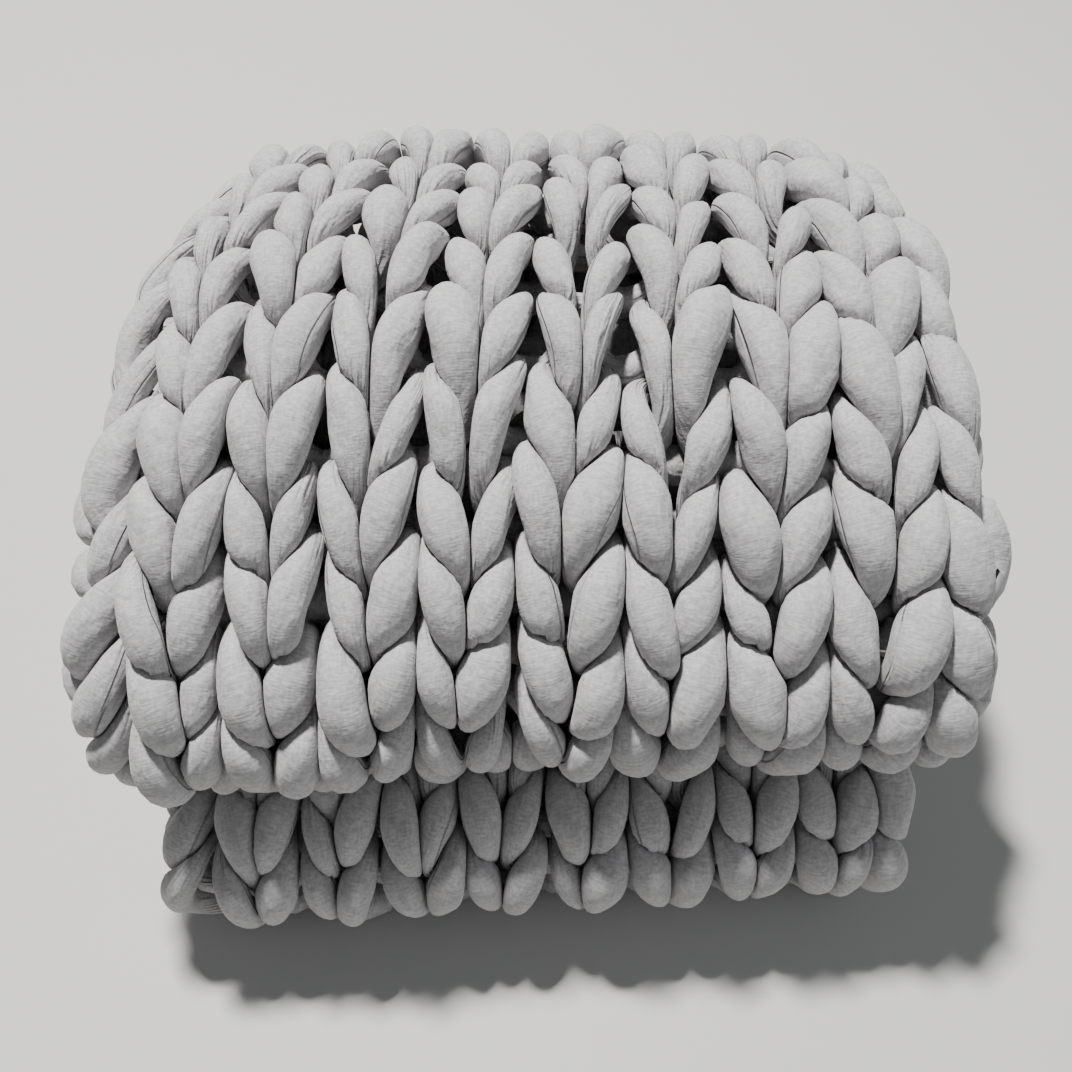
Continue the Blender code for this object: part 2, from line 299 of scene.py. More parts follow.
# %% The lower slab's lip
BOTTOM_LIP_REACH = -0.043       # y of its nose
BOTTOM_LIP_RADIUS = 0.080
BOTTOM_LIP_END_NORMAL = -55.0   # how far it tucks under, in degrees


def bottom_lip_outline():
    """The bottom ply's upper face where it rounds down over its front and tucks in at the floor."""
    top = SLAB_JOIN - LAYER_GAP / 2
    start = (BOTTOM_LIP_REACH + BOTTOM_LIP_RADIUS, top)
    bend = arc_points(start, 90.0, BOTTOM_LIP_END_NORMAL, BOTTOM_LIP_RADIUS)
    return stepped([(start[0] + ROW, top), start] + bend)


print("bottom lip (m):", round(distances(bottom_lip_outline())[-1], 3))

# %% [markdown]
# ## All the stations
# The outer curves and the gaps are joined into one list, from the top ply's back end to the lower slab's
# lip. Each station remembers the stretch that it is in, because the stretches of a real pile don't lie
# quite in line: some are narrower, some droop at their sides, and some have slipped to the right.

# %% From the top ply's back end to the bottom lip
FRONT_BEND_FROM, FRONT_BEND_TO = 0.060, 0.015   # the bend's inside, behind the tip of its gap
BACK_BEND_FROM = 0.030          # the same at the back, before the tip of its gap
BACK_NARROWS_FROM = 0.385       # y from which the top counts as its back
BOTTOM_LIP_TUCK = 0.065         # where the lip's underside ends, from its nose


def fold_stations():
    """The two faces of the doubled cloth every quarter row, and the stretch that each station is in."""
    near, far, stretch = [], [], []

    def add(near_points, far_points, name):
        near.extend(near_points)
        far.extend(far_points)
        stretch.extend([name] * len(near_points))

    top = top_outline()
    front_tip, back_tip = GAPS["inside front"][0], GAPS["inside back"][0]
    above = [p for p in top if p[0] > front_tip + FRONT_BEND_FROM]
    for name, part in (("top back", [p for p in above if p[0] > BACK_NARROWS_FROM]),
                       ("top ply", [p for p in above if p[0] <= BACK_NARROWS_FROM])):
        add(part, [(y, top_ply_underside(y)) for y, _ in part], name)
    lip = top[len(above):]
    inside = round_tip("inside front", front_tip + FRONT_BEND_FROM, front_tip + FRONT_BEND_TO, len(lip))
    add(lip, inside, "front fold")
    back = back_outline()
    step = ROW / PER_ROW
    middle_y = np.arange(front_tip + FRONT_BEND_TO + step, back[0][0] - step / 2, step)
    add([(y, gap_side("inside back", y, 1)) for y in middle_y],
        [(y, gap_side("inside front", y, -1)) for y in middle_y], "middle ply")
    bend_from = back_tip - BACK_BEND_FROM
    add(round_tip("inside back", bend_from, bend_from, len(back)), back, "back fold")
    bottom_lip = bottom_lip_outline()
    lip_from = bottom_lip[0][0]
    bottom_y = np.arange(back[-1][0] - step, lip_from + step / 2, -step)
    add([(y, gap_side("inside back", y, -1)) for y in bottom_y], [(y, 0.0) for y in bottom_y], "bottom ply")
    floor_y = np.linspace(lip_from, BOTTOM_LIP_REACH + BOTTOM_LIP_TUCK, len(bottom_lip))
    add(bottom_lip, [(y, 0.0) for y in floor_y], "bottom lip")
    return np.array(near), np.array(far), stretch


near_face, far_face, stretch_names = fold_stations()
station_count = len(near_face)
print("stations:", station_count, " rows:", round(station_count / PER_ROW, 1))

# %% How each stretch lies
BLEND = 4               # stations over which one stretch passes into the next
STRETCHES = {
    # name:          width, droop (m), shift (m)
    "top back":     (0.925, 0.052, 0.012),
    "top ply":      (1.020, 0.042, 0.007),
    "front fold":   (1.015, 0.022, 0.008),
    "middle ply":   (0.970, 0.000, 0.000),
    "back fold":    (0.950, 0.000, 0.000),
    "bottom ply":   (0.925, 0.000, 0.006),
    "bottom lip":   (0.915, 0.000, 0.008),
}


def blended(values, reach):
    """Each value averaged with its neighbours within reach."""
    width = 2 * reach + 1
    return np.convolve(np.pad(values, reach, mode="edge"), np.ones(width) / width, mode="valid")


widths, droops, shifts = (blended([STRETCHES[s][i] for s in stretch_names], BLEND) for i in range(3))
print("widths:", round(widths.min(), 3), "to", round(widths.max(), 3))

# %% [markdown]
# ## From the knit to the folded pile
# The knit is easiest to think of flat: so many columns across, so many rows along, and a little in or out
# of the cloth. One function will carry such a point to its place in the pile. Across the pile the cloth
# runs left over the upper side, turns down round the side fold, and comes back to the right along the
# lower side.

# %% The cloth's line across the pile
CORNER_FROM = 8.35      # columns from the right edge to where the side fold begins to turn
CORNER_WALES = 0.70     # length of each of the side fold's two corners
SIDE_WALES = 0.32       # length of the upright stretch between them
LINE_STEP = 0.01        # step of the line, in columns
LINE_SPARE = 0.5        # how far the line runs on past the free edges, in columns

line_end = 2 * CORNER_FROM + 2 * CORNER_WALES + SIDE_WALES
line_marks = np.arange(-LINE_SPARE, line_end + LINE_SPARE, LINE_STEP)
second_corner = CORNER_FROM + CORNER_WALES + SIDE_WALES
line_tilt = math.pi / 2 * (np.clip((line_marks - CORNER_FROM) / CORNER_WALES, 0, 1)
                           + np.clip((line_marks - second_corner) / CORNER_WALES, 0, 1))
line_x = half_width + LINE_SPARE * WALE - np.cumsum(np.cos(line_tilt)) * LINE_STEP * WALE
line_drop = np.cumsum(np.sin(line_tilt))
line_drop /= line_drop[-1]
far_stretch = (line_end - CORNER_FROM) / (WALES - CORNER_FROM)


def across_pile(wale):
    """For a place in columns from the upper free edge: x, the share of the way down, and the tilt."""
    place = np.where(wale > CORNER_FROM, CORNER_FROM + (wale - CORNER_FROM) * far_stretch, wale)
    return (np.interp(place, line_marks, line_x), np.interp(place, line_marks, line_drop),
            np.interp(place, line_marks, line_tilt))


print("side fold from x (m):", round(float(across_pile(np.array([CORNER_FROM]))[0][0]), 3))

# %% [markdown]
# ## Where a point of the knit lies
# Along the pile a point's row picks its station, and its column says how far it is between the two faces.
# The free edges round down a little. At the open back end nothing spreads the two layers, so they lie
# closer there and sink on to the fold below. The front runs a little aslant, as it does on a pile folded
# by hand.

# %% How the layers lie
MIDDLE_Y = 0.24108      # the pile's middle, behind the nose of the top fold
SKIN_SHARE = 0.30       # the cloth's middle is never deeper than this share of the doubled cloth
EDGE_SAG = 0.020        # how far a free edge rounds down
EDGE_SAG_WALES = 0.45   # over this many columns
EDGE_SAG_MOST = 1.5     # past the edge, this much of it at most
DROOP_POWER = 5         # how suddenly the sides droop
FRONT_SLANT = 0.055     # how far back the front runs, to a metre to the right
SLANT_DEPTH = 0.430     # y at which the slant has faded out
END_THICK = 0.100       # how thick the doubled cloth is at its back end
END_OPENS = 0.018       # how much thicker it gets with every row
END_SINKS = 0.6         # how much of the lost thickness the end sinks by
print("back end (mm):", round(1000 * END_THICK), "thick")


# %% In the pile
def in_pile(row, wale, out):
    """Row and wale counts, and metres out of the cloth, to the point's place in the pile."""
    station = np.clip(row * PER_ROW, 0, station_count - 1)
    marks = np.arange(station_count)
    near = np.stack([np.interp(station, marks, near_face[:, i]) for i in (0, 1)], axis=1)
    far = np.stack([np.interp(station, marks, far_face[:, i]) for i in (0, 1)], axis=1)
    inward = far - near
    whole = np.linalg.norm(inward, axis=1)
    inward /= whole[:, None]
    thick = np.minimum(whole, END_THICK + END_OPENS * row)
    x, share, tilt = across_pile(wale)
    skin = np.minimum(SKIN, thick * SKIN_SHARE)
    past_edge = np.clip(1 - np.minimum(wale, WALES - wale) / EDGE_SAG_WALES, 0, EDGE_SAG_MOST)
    edge = past_edge ** 2 * EDGE_SAG
    depth = skin + (thick - 2 * skin) * share + np.cos(tilt) * (edge - out)
    depth += END_SINKS * (whole - thick)
    x = x - out * np.sin(tilt)
    y = near[:, 0] + inward[:, 0] * depth
    z = near[:, 1] + inward[:, 1] * depth
    droop = np.interp(station, marks, droops) * np.abs(x / half_width) ** DROOP_POWER
    z = z - droop * (1 - depth / thick)
    x = x * np.interp(station, marks, widths) + np.interp(station, marks, shifts)
    y = y + FRONT_SLANT * x * np.clip(1 - y / SLANT_DEPTH, 0, None) - MIDDLE_Y
    return np.stack([x, y, z], axis=1)


TRIAL_ROW = 8.0
trial = in_pile(np.full(2, TRIAL_ROW), np.array([0.0, WALES_ACROSS]), np.zeros(2))
print("row 8 from x", round(trial[0, 0], 3), "to", round(trial[1, 0], 3))

# %% [markdown]
# ## Hand-made unevenness
# No two hand-made stitches are alike. Every foot, leg and head gets its own small shift, drawn from a
# seeded generator so that the blanket comes out the same each time, and joined smoothly so that the yarn
# never kinks. Larger pulls come from the folding: rows are stretched over the front, the columns lean
# there, and the free edges are drawn in by their own yarn.

# %% Small shifts
SAMPLES = 48            # points along one stitch while its path is drawn
KNOTS = 4               # a foot, a leg, a head and a leg
LOOSE_BLEND = 4         # points over which one shift passes into the next
LOOSE_MOST = 2          # the largest shift over the usual one
SEED = 7                # another seed gives another blanket of the same kind
draw = np.random.default_rng(SEED)


def loose(count, size):
    """Random shifts for count stitches, joined smoothly along a row."""
    knots = draw.normal(0, size, KNOTS * count + 1).clip(-LOOSE_MOST * size, LOOSE_MOST * size)
    marks = np.linspace(0, KNOTS * count, count * SAMPLES + 1)
    return blended(np.interp(marks, np.arange(KNOTS * count + 1), knots), LOOSE_BLEND)


print("shifts to a row:", KNOTS * WALES + 1)

# %% Large pulls
ROWS_PULLED = ((0.9, 0.20), (4.0, -0.06), (8.0, 0.30), (14.0, 0.10))    # row, rows further forward
FRONT_SHARE = ((2.5, 0.15), (7.0, 1.0), (11.0, 1.0), (14.0, 0.0))       # row, share of lean and slope
BOW = 0.32              # how far the columns lean left at the middle of the front, in columns
SKEW = 0.70             # how far the rows run down at the right of the front, in rows
EDGE_DRAW = 0.16        # how far the free edges are drawn in, in columns
EDGE_WIDTH = 0.35       # over about this many columns


def pulled(along, wale):
    """Where the cloth's weight, the folding and the edge yarn have pulled a place in the knit."""
    front = np.interp(along, *zip(*FRONT_SHARE))
    upper = np.clip(wale, 0, WALES_ACROSS)
    lean = BOW * front * np.sin(math.pi * upper / WALES_ACROSS)
    drop = SKEW * front * np.clip(1 - 2 * upper / WALES_ACROSS, 0, None)
    drawn_in = EDGE_DRAW * (np.exp(-(wale / EDGE_WIDTH) ** 2)
                            - np.exp(-((WALES - wale) / EDGE_WIDTH) ** 2))
    return along + np.interp(along, *zip(*ROWS_PULLED)) + drop, wale + lean + drawn_in


print("widest lean (mm):", round(1000 * BOW * WALE))

# %% [markdown]
# ## One row of stitches
# A row is one wave of yarn. It swings from side to side twice as fast as it goes up and down, and it dips
# in and out of the cloth at that double speed too, so its legs come to the front while heads and feet lie
# behind. Each row is the same wave one row further on, hooked through the loops before it. The upper end
# of a leg stands out over the lower end of the next, which gives the overlapping, rope-like look.
#
# The tube is pulled thin where it squeezes through the loop before it, and is fuller again behind.

# %% The shape of a stitch
FIRST_ROW = 0.95        # where the first row's middle lies, in rows from the back end
LOOP_HEIGHT = 1.08      # from the middle of a stitch up to its head, and down to its feet, in rows
LOOP_SQUARE = 0.05      # how far the legs run on straight before they turn, in rows
LOOP_SWING = 0.235      # how far the legs splay at the head and draw in at the feet, in columns
LOOP_TILT = 0.014       # how much the head's end of a leg stands out over the foot's end
LOOSE_ACROSS, LOOSE_ALONG, LOOSE_OUT = 0.060, 0.110, 0.0040     # usual shifts: columns, rows, metres
rows_in_all = int((station_count - 1) / PER_ROW - 2 * FIRST_ROW) + 1
print("rows:", rows_in_all, " stitches:", rows_in_all * WALES)

# %% How plump the tube is
THIN_TURN = 0.46        # how much thinner the tube is pulled at its heads and feet
THIN_BIAS = 0.22        # how much less of that thinning there is on the way to the head
THIN_FROM = 0.90        # how far out along a leg it is at its thinnest, 1 being the head or the foot
THIN_FREE = 0.85        # how much of the thinning is gone again right at the head or the foot
FAT = 0.17              # how much the tube's thickness varies
ROWS_PLUMP = ((0.0, 1.10), (1.5, 0.90), (3.8, 0.88),    # row, how plump
              (6.0, 1.0), (12.5, 1.0), (15.0, 0.90))
FAR_PLUMP = 1.20        # how much plumper the lower layer is, which nothing pulls at
EDGE_PLUMP = 0.15       # how much plumper the yarn is at the free edges, where it is pressed less
EDGE_PLUMP_WALES = 3.5  # fading over this many columns


def eased(share):
    """A share from 0 to 1 that starts and ends gently."""
    return share ** 2 * (3 - 2 * share)


def plumpness(across, along, toward_head):
    """The tube's radius over YARN, before a stitch's own unevenness."""
    thinning = THIN_TURN * (1 - THIN_BIAS * toward_head)
    thinning *= eased(np.clip(np.abs(toward_head) / THIN_FROM, 0, 1))
    thinning *= 1 - THIN_FREE * eased(np.clip((np.abs(toward_head) - THIN_FROM) / (1 - THIN_FROM), 0, 1))
    plump = np.interp(along, *zip(*ROWS_PLUMP)) * np.where(across > WALES_ACROSS, FAR_PLUMP, 1.0)
    from_edge = np.minimum(across, WALES - across)
    plump *= 1 + EDGE_PLUMP * np.clip(1 - from_edge / EDGE_PLUMP_WALES, 0, 1)
    return (1 - thinning) * plump


print("thinnest share:", round(1 - THIN_TURN * (1 + THIN_BIAS), 2))


# %% The path of one row
def row_path(row):
    """One row from the near free edge to the far one: rows, columns, metres out, and thickness."""
    across = np.linspace(0, WALES, WALES * SAMPLES + 1)
    phase = 2 * math.pi * (across - 0.5)        # 0 at a head, which is in the middle of its column
    wale = across + LOOP_SWING * np.sin(2 * phase) + loose(WALES, LOOSE_ACROSS)
    along = FIRST_ROW + row + LOOP_HEIGHT * np.cos(phase) - LOOP_SQUARE * np.cos(3 * phase)
    along += loose(WALES, LOOSE_ALONG)
    toward_head = np.cos(phase)
    out = -LOOP_DEPTH * np.cos(2 * phase) + loose(WALES, LOOSE_OUT)
    out += LOOP_TILT * toward_head * (1 - toward_head ** 2)
    fat = (1 + loose(WALES, FAT)) * plumpness(across, along, toward_head)
    return np.stack([*pulled(along, wale), out, fat], axis=1)


print("points to a row:", WALES * SAMPLES + 1)

# %% [markdown]
# ## One continuous yarn
# At the end of a row the yarn turns and knits back, so the whole blanket is a single length of tube. The
# turns show along the free edges as plump bumps. The two ends of the yarn taper where the tube is tied
# off.

# %% Turns at the free edges
TURN_OUT = 0.04         # how far a turn swings past the edge, in columns
TURN_RISE = 0.5         # how far it comes to the front, as a share of LOOP_DEPTH
TURN_PLUMP = 0.20       # how much plumper the tube is in a turn
TURN_POINTS = 24


def edge_turn(start, end):
    """The yarn's turn at a free edge, from the end of one row to the start of the next."""
    turn = np.linspace(0, math.pi, TURN_POINTS + 2)[1:-1]
    points = start + (end - start) * ((1 - np.cos(turn)) / 2)[:, None]
    swing = TURN_OUT if start[1] > WALES / 2 else -TURN_OUT
    points[:, 1] += swing * np.sin(turn)
    points[:, 2] += TURN_RISE * LOOP_DEPTH * np.sin(turn)
    points[:, 3] += TURN_PLUMP * np.sin(turn)
    return points


print("turns:", rows_in_all - 1)

# %% The whole yarn, back and forth
END_TAPER = 14          # points over which the yarn's two ends taper
END_PLUMP = 0.30        # how plump the very end is
OUT_STEP = 0.001        # a small step out of the cloth, to see which way that is
route = []
for row in range(rows_in_all):
    path = row_path(row)
    path = path if row % 2 else path[::-1]
    if route:
        route.append(edge_turn(route[-1][-1], path[0]))
    route.append(path)
route = np.concatenate(route)
from_end = np.minimum(np.arange(len(route)), np.arange(len(route))[::-1])
route[:, 3] *= np.interp(from_end, (0, END_TAPER), (END_PLUMP, 1.0))
yarn_line = in_pile(route[:, 0], route[:, 1], route[:, 2])
yarn_out = in_pile(route[:, 0], route[:, 1], route[:, 2] + OUT_STEP) - yarn_line
print("yarn (m):", round(distances(yarn_line)[-1], 1))

# %% [markdown]
# ## Where detail is worth having
# The computer has to carry every point, so the yarn is drawn finely where it shows, and plainly inside
# the pile. It shows on the upper side over the top and down the front, on the lower side round the back
# fold, and everywhere round the side fold and along the free edges. The tight turns get the finest steps.

# %% What shows
EDGE_SHOWS, FOLD_SHOWS = 1.0, 8.0       # columns at a free edge, and before the side fold
FAR_SPARE = 0.5         # the lower side shows this much less of the fold
NEAR_SHOWN = ("top back", "top ply", "front fold", "bottom lip")
FAR_SHOWN = ("back fold",)
station_of = np.clip(np.round(route[:, 0] * PER_ROW), 0, station_count - 1).astype(int)


def shown_in(names):
    """Whether each point of the route lies in one of the stretches, or within a row of it."""
    inside = np.array([s in names for s in stretch_names], dtype=float)
    return blended(inside, PER_ROW)[station_of] > 0


wale_of = route[:, 1]
fold_far = WALES - FOLD_SHOWS + FAR_SPARE
fine = ((wale_of < EDGE_SHOWS) | (wale_of > WALES - EDGE_SHOWS)
        | ((wale_of > FOLD_SHOWS) & (wale_of < fold_far))
        | (shown_in(NEAR_SHOWN) & (wale_of <= FOLD_SHOWS))
        | (shown_in(FAR_SHOWN) & (wale_of >= fold_far)))
print("share drawn finely:", round(fine.mean(), 2))

# %% Points along the yarn
FINE_STEP = 0.0060      # where it shows
PLAIN_STEP = 0.0120     # inside the pile
TURN_STEP = 0.0038      # in the turns at the free edges
TURN_WALES = 0.30       # the turns lie within this many columns of a free edge
in_turn = (wale_of < TURN_WALES) | (wale_of > WALES - TURN_WALES)
density = np.where(in_turn, 1 / TURN_STEP, np.where(fine, 1 / FINE_STEP, 1 / PLAIN_STEP))
along_yarn = distances(yarn_line)
count_so_far = np.concatenate([[0], np.cumsum(np.diff(along_yarn) * (density[1:] + density[:-1]) / 2)])
marks = np.arange(0, count_so_far[-1])


def thinned(values):
    """Values along the route, taken at the points that are kept."""
    return np.interp(marks, count_so_far, values)


line = np.stack([thinned(yarn_line[:, i]) for i in range(3)], axis=1)
out_way = np.stack([thinned(yarn_out[:, i]) for i in range(3)], axis=1)
arc = thinned(along_yarn)
fat = thinned(route[:, 3])
is_fine = thinned(fine.astype(float)) > 0.5
print("points on the yarn:", len(line), " fine:", int(is_fine.sum()))

# %% [markdown]
# ## Soft tubes that press on each other
# A stuffed tube is round only where it is free. Where two tubes touch, each gives way and they meet in a
# flat face half-way, with a sharp crease at its rim. Cloth simulation could find those faces, but not for
# 195 m of yarn in a minute or two. The half-way plane between two round tubes is known, though. So every
# point round the tube starts at the free radius and is pulled in to the half-way plane of any neighbour
# that is in its way, and to the floor.

# %% Directions round the tube
ahead = np.gradient(line, axis=0)
ahead /= np.linalg.norm(ahead, axis=1)[:, None]
outward = out_way - ahead * (out_way * ahead).sum(axis=1)[:, None]
outward /= np.linalg.norm(outward, axis=1)[:, None]
sideways = np.cross(ahead, outward)
print("longest step (mm):", round(1000 * np.diff(arc).max(), 1))

# %% A quick way to find neighbours
yarn_points = kdtree.KDTree(len(line))
for index, point in enumerate(line):
    yarn_points.insert(point, index)
yarn_points.balance()
print("points that can be looked up:", len(line))

# %% Swells of the stuffing
LUMP_SIZE = 0.07        # the usual size of the swells, as a share of the radius
LUMP_WAVES = 7
LUMP_LENGTHS = (0.035, 0.16)    # metres along the yarn
LUMPS_ROUND = (1, 4)    # swells round the tube, from the first to just under the second
lump_waves = [(draw.uniform(*LUMP_LENGTHS), draw.integers(*LUMPS_ROUND), draw.uniform(0, 2 * math.pi))
              for _ in range(LUMP_WAVES)]


def lumps(along, turns):
    """Slow swells of the stuffing along and round the tube."""
    swells = [np.cos(2 * math.pi * along[:, None] / length + times * turns[None] + start)
              for length, times, start in lump_waves]
    return 1 + LUMP_SIZE * sum(swells) / math.sqrt(LUMP_WAVES)


print("swell lengths (mm):", [round(1000 * wave[0]) for wave in lump_waves])

# %% How tubes press
NEIGHBOURS = 72         # points looked at round each point
FATTEST = 1.25          # how fat a tube is looked for, over YARN
NEIGHBOUR_REACH = 2 * YARN * FATTEST
OWN_LENGTH = 0.040      # along this much of its own length the yarn doesn't press on itself
AIR = 0.0004            # half the crease between two tubes
FLOOR_AIR = 0.0005      # left above the floor
SOFTNESS = 8.0          # higher turns more sharply from the free round to the pressed flat
LEAST_REACH = 0.0015    # no point of a tube comes nearer to its middle
LEAST_GAP, LEAST_HEIGHT = 1e-6, 0.001   # keep the divisions below from running off
print("neighbours are looked for within (mm):", round(1000 * NEIGHBOUR_REACH))


# %% How far the tube reaches in every direction
def reach_round(indices, ring):
    """The tube's reach in ring directions at each of the indices, and those directions."""
    turns = 2 * math.pi * np.arange(ring) / ring + math.pi
    ways = (outward[indices, None] * np.cos(turns)[None, :, None]
            + sideways[indices, None] * np.sin(turns)[None, :, None])
    near_ones = np.tile(indices[:, None], (1, NEIGHBOURS))
    for k, index in enumerate(indices):
        found = [j for _, j, gap in yarn_points.find_n(line[index], NEIGHBOURS) if gap < NEIGHBOUR_REACH]
        near_ones[k, :len(found)] = found
    off = line[near_ones] - line[indices, None]
    other = np.abs(arc[near_ones] - arc[indices, None]) > OWN_LENGTH
    free = YARN * fat[indices]
    half_way = ((off ** 2).sum(axis=2) + free[:, None] ** 2 - (YARN * fat[near_ones]) ** 2) / 2
    facing = np.einsum("nrc,nkc->nrk", ways, off)
    closeness = np.where(other[:, None], facing / np.maximum(half_way, LEAST_GAP)[:, None], 0)
    pressed = np.maximum(closeness.max(axis=2), 0)
    height = np.maximum(line[indices, 2] - FLOOR_AIR, LEAST_HEIGHT)
    pressed = np.maximum(pressed, np.maximum(-ways[:, :, 2], 0) / height[:, None])
    plump = free[:, None] * lumps(arc[indices], turns)
    reach = ((1 / plump) ** SOFTNESS + pressed ** SOFTNESS) ** (-1 / SOFTNESS)
    return np.maximum(reach - AIR, LEAST_REACH), ways


RING, PLAIN_RING = 22, 8        # directions round the tube where it shows, and inside the pile
print("directions round the tube:", RING, "and", PLAIN_RING)

# %% [markdown]
# ## Tubes as meshes
# A tube is a chain of rings, closed by a fan at each end. Its map runs along the yarn one way and round
# it the other, so that gathers and the seam can follow the tube in the material. Each point also keeps
# how far the tube is squeezed there, because squeezed jersey gathers in pleats.

# %% Even out the rings
SMOOTHINGS = 2
OWN_WEIGHT = 6          # a point's own weight beside its two neighbours
SWELL_ALLOWED = 0.0004  # how far evening out along the yarn may let a ring grow


def evened(reach):
    """The reach with small steps between neighbouring points taken out."""
    weights = OWN_WEIGHT + 2
    for _ in range(SMOOTHINGS):
        reach = (np.roll(reach, 1, axis=1) + OWN_WEIGHT * reach + np.roll(reach, -1, axis=1)) / weights
        ends = np.concatenate([reach[:1], reach, reach[-1:]])
        along = (ends[:-2] + OWN_WEIGHT * reach + ends[2:]) / weights
        reach = np.minimum(reach, along + SWELL_ALLOWED)
    return reach


print("rounds of evening out:", SMOOTHINGS)


# %% Faces of one tube
def tube_faces(start, count, ring, u):
    """Faces and map points of a tube of count rings whose first point is number start."""
    i, k = np.meshgrid(np.arange(count - 1), np.arange(ring), indexing="ij")
    after = (k + 1) % ring
    quads = np.stack([i * ring + k, (i + 1) * ring + k, (i + 1) * ring + after, i * ring + after], axis=-1)
    faces = (quads.reshape(-1, 4) + start).tolist()
    across = np.stack([k, k, k + 1, k + 1], axis=-1) / ring
    along = np.stack([u[i], u[i + 1], u[i + 1], u[i]], axis=-1)
    map_points = [np.stack([along, across], axis=-1).reshape(-1, 2)]
    first, last = count * ring, (count - 1) * ring
    for k in range(ring):
        after = (k + 1) % ring
        faces.append((start + after, start + first, start + k))
        faces.append((start + last + k, start + first + 1, start + last + after))
        map_points.append(np.array([[u[0], k / ring]] * 3 + [[u[-1], k / ring]] * 3))
    return faces, map_points


print("triangles to a closed plain tube of two rings:",
      sum(len(face) - 2 for face in tube_faces(0, 2, PLAIN_RING, np.zeros(2))[0]))


# %% Build one piece from lengths of yarn
def tube_piece(name, lengths, ring, material):
    """One mesh from several lengths of yarn, each an array of point numbers."""
    points, faces, map_points, gathers = [], [], [], []
    start = 0
    for indices in lengths:
        reach, ways = reach_round(indices, ring)
        reach = evened(reach)
        rings = line[indices, None] + ways * reach[:, :, None]
        rings[:, :, 2] = np.maximum(rings[:, :, 2], FLOOR_AIR)
        points.append(rings.reshape(-1, 3))
        points.append(line[indices[[0, -1]]])
        gathers.append(np.repeat(1 - reach.mean(axis=1) / YARN, ring))
        gathers.append(np.ones(2))
        new_faces, new_map_points = tube_faces(start, len(indices), ring, arc[indices])
        faces += new_faces
        map_points += new_map_points
        start += len(indices) * ring + 2
    mesh = bpy.data.meshes.new(name)
    mesh.from_pydata(np.concatenate(points).tolist(), [], faces)
    layer = mesh.uv_layers.new(name="yarn")
    layer.data.foreach_set("uv", np.concatenate(map_points).astype(np.float32).ravel())
    gathered = mesh.attributes.new("gathered", "FLOAT", "POINT")
    gathered.data.foreach_set("value", np.concatenate(gathers).clip(0, 1).astype(np.float32))
    mesh.shade_smooth()
    mesh.materials.append(material)
    piece = bpy.data.objects.new(name, mesh)
    bpy.context.scene.collection.objects.link(piece)
    print(name, "triangles:", sum(len(face) - 2 for face in faces))
    return piece


# %% [markdown]
# ## Grey jersey
# The tube is cut from thin cotton jersey, light grey with a faint heather. Three things make it read as
# cloth: fine courses of loops that run round the tube, pleats where the tube is squeezed, which run along
# it, and the one seam that closes the tube. All three follow the map that runs along and round the yarn,
# and the pleats take their strength from how far the tube is pressed in. First come a few helpers that
# make and join nodes.

# %% Make and feed nodes
def add_node(tree, kind, **settings):
    """A new node of a kind, with its settings."""
    node = tree.nodes.new(kind)
    for name, value in settings.items():
        setattr(node, name, value)
    return node


def fed(tree, node, **inputs):
    """Links or sets a node's inputs by name, with underscores for spaces."""
    for name, value in inputs.items():
        socket = node.inputs[name.replace("_", " ")]
        if isinstance(value, bpy.types.NodeSocket):
            tree.links.new(value, socket)
        else:
            socket.default_value = value
    return node


print("helpers for nodes: add_node and fed")


# %% Sums and ranges
def worked_out(tree, operation, first, second=None):
    """A Math node's result."""
    node = add_node(tree, "ShaderNodeMath", operation=operation)
    for socket, value in zip(node.inputs, (first, second)):
        if isinstance(value, bpy.types.NodeSocket):
            tree.links.new(value, socket)
        elif value is not None:
            socket.default_value = value
    return node.outputs[0]


def ranged(tree, value, from_low, from_high, to_low, to_high):
    """A value carried from one range to another, and held at its ends."""
    node = fed(tree, add_node(tree, "ShaderNodeMapRange"), Value=value, From_Min=from_low,
               From_Max=from_high, To_Min=to_low, To_Max=to_high)
    return node.outputs["Result"]


def off_middle(tree, value, middle):
    """How far a value is from a middle one, either way."""
    return worked_out(tree, "ABSOLUTE", worked_out(tree, "SUBTRACT", value, middle))


print("helpers for numbers: worked_out, ranged and off_middle")


# %% Clouds and bumps
def clouds(tree, vector, scale, detail):
    """Soft noise, about 0.5 on average."""
    node = fed(tree, add_node(tree, "ShaderNodeTexNoise"), Vector=vector, Scale=scale, Detail=detail)
    return node.outputs["Fac"]


def raised(tree, height, strength, distance, under=None):
    """A bump of that height in metres, on top of the bump under it."""
    node = fed(tree, add_node(tree, "ShaderNodeBump"), Height=height, Strength=strength, Distance=distance)
    if under is not None:
        tree.links.new(under, node.inputs["Normal"])
    return node.outputs[0]


print("helpers for looks: clouds and raised")

# %% [markdown]
# ### The jersey's yarn, pleats and seam
# The noise is stretched along or round the tube by scaling one axis of the map: that turns clouds into
# courses or into pleats. The seam is a narrow line that wanders slowly round the tube, because a long
# tube twists.

# %% The tube's map
TUBE_ROUND = 0.125      # length of the cloth round the tube
DRAWN_OUT = 0.13        # scale of the axis along which the noise is stretched


def tube_map(tree):
    """Metres along the tube, turns round it, and both in metres as one flat map."""
    yarn_map = add_node(tree, "ShaderNodeUVMap", uv_map="yarn").outputs[0]
    split = fed(tree, add_node(tree, "ShaderNodeSeparateXYZ"), Vector=yarn_map)
    along, round_it = split.outputs["X"], split.outputs["Y"]
    around = worked_out(tree, "MULTIPLY", round_it, TUBE_ROUND)
    flat = fed(tree, add_node(tree, "ShaderNodeCombineXYZ"), X=along, Y=around).outputs[0]
    return along, round_it, flat


